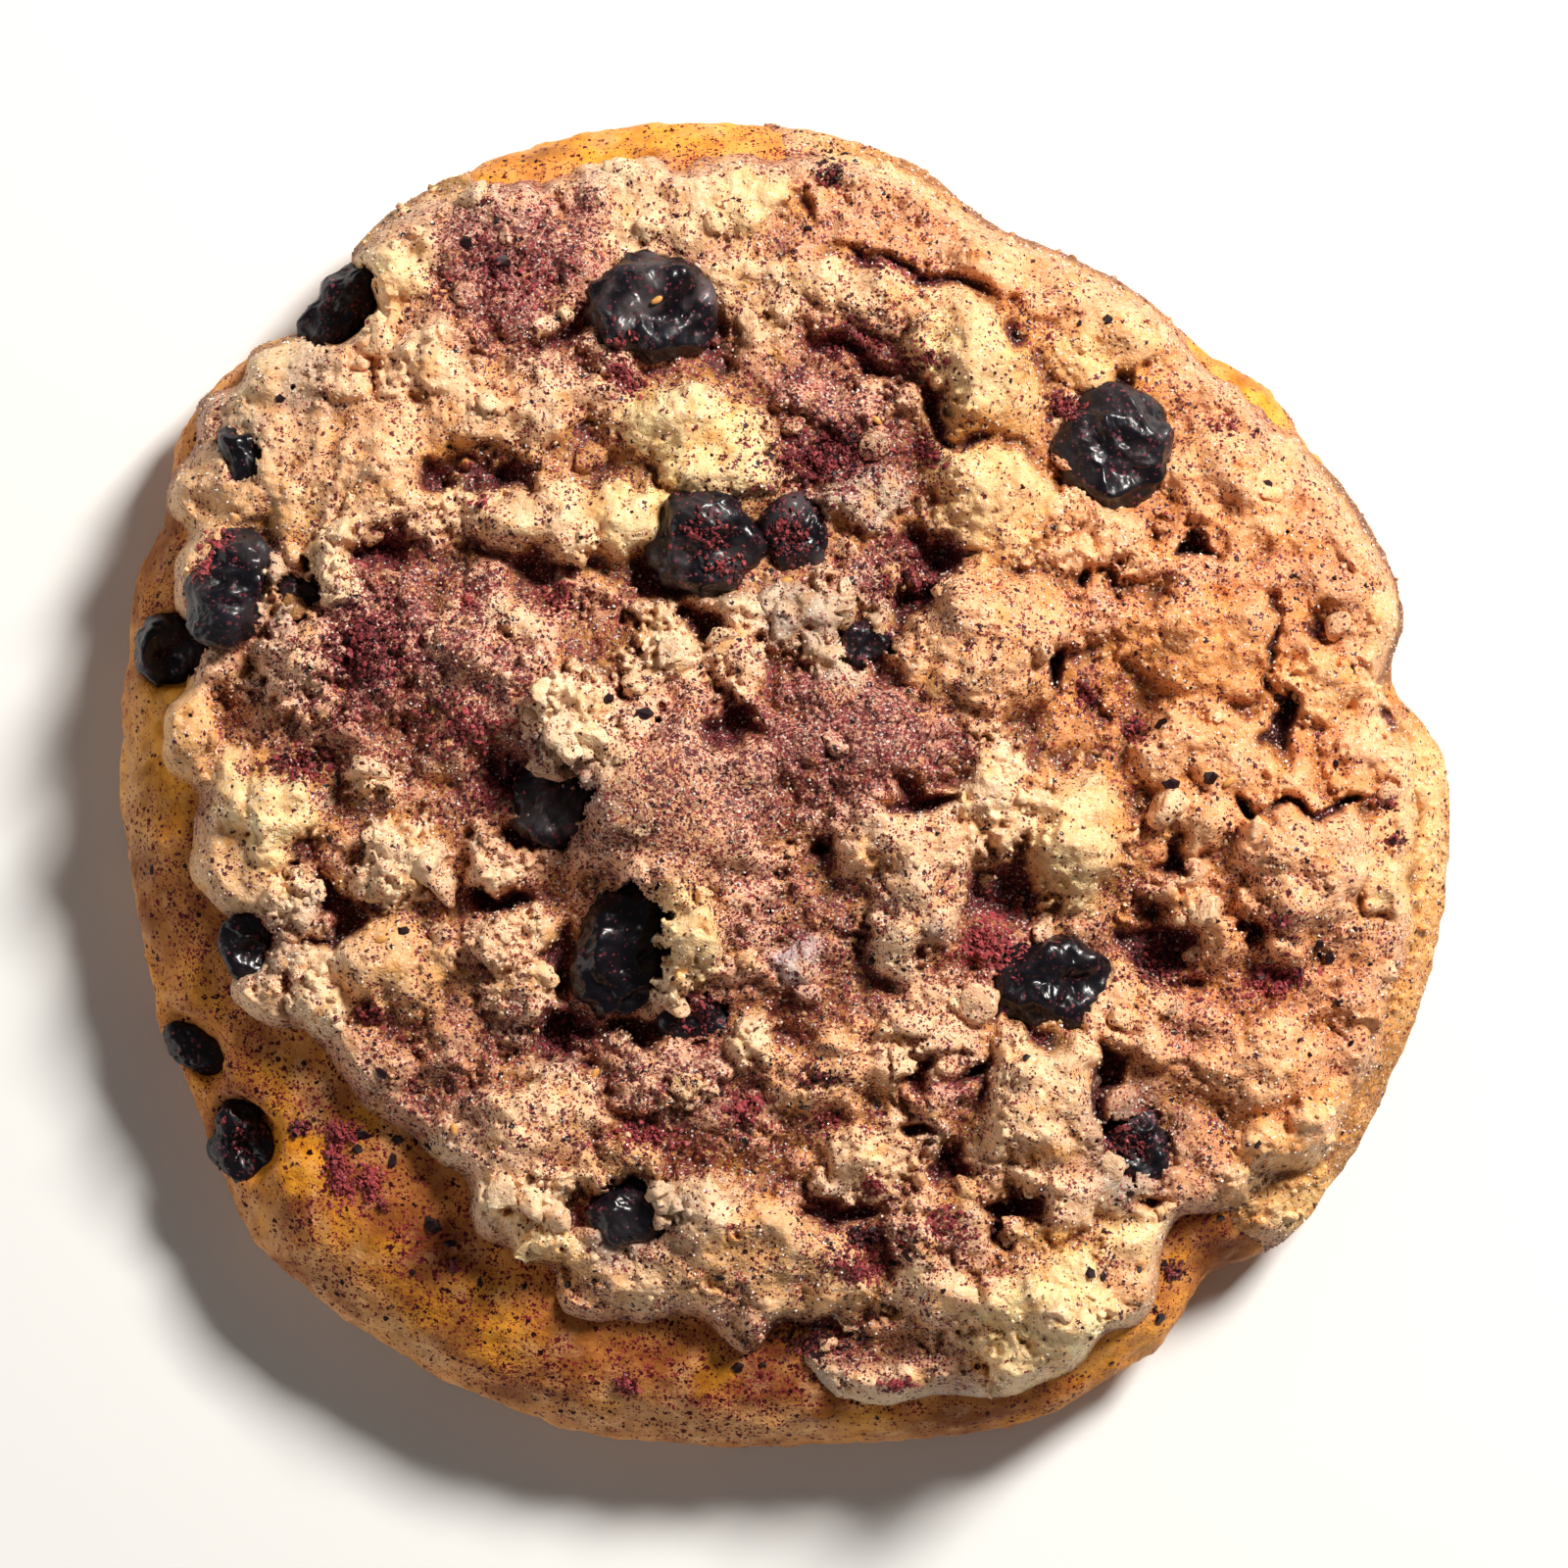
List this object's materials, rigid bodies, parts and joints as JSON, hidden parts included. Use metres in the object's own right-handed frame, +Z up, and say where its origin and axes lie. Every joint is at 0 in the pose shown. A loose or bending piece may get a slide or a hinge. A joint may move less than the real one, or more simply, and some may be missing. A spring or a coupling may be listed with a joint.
{
  "type": "blueberry streusel cookie",
  "caption": "Thick round baked cookie with a browned crust, a lumpy crumb streusel cap dusted with purple berry powder, and baked berries sunk into it.",
  "frame": {"origin": "centre of the bounding box, at the height of the flat underside", "axes": "+Z up out of the crumb cap, +Y towards the top of the picture, +X towards its right side"},
  "size_m": [0.1028, 0.1026, 0.0272],
  "materials": {
    "dough": "matte",
    "streusel": "matte",
    "berry": "gloss"
  },
  "bodies": {
    "root": {"dough": "dough", "streusel": "streusel", "berry_01": "berry", "berry_02": "berry", "berry_03": "berry", "berry_04": "berry", "berry_05": "berry", "berry_06": "berry", "berry_07": "berry", "berry_08": "berry", "berry_09": "berry", "berry_10": "berry", "berry_11": "berry", "berry_12": "berry", "berry_13": "berry", "berry_14": "berry", "berry_15": "berry", "berry_16": "berry", "berry_17": "berry", "berry_18": "berry", "berry_19": "berry"}
  },
  "joints": []
}
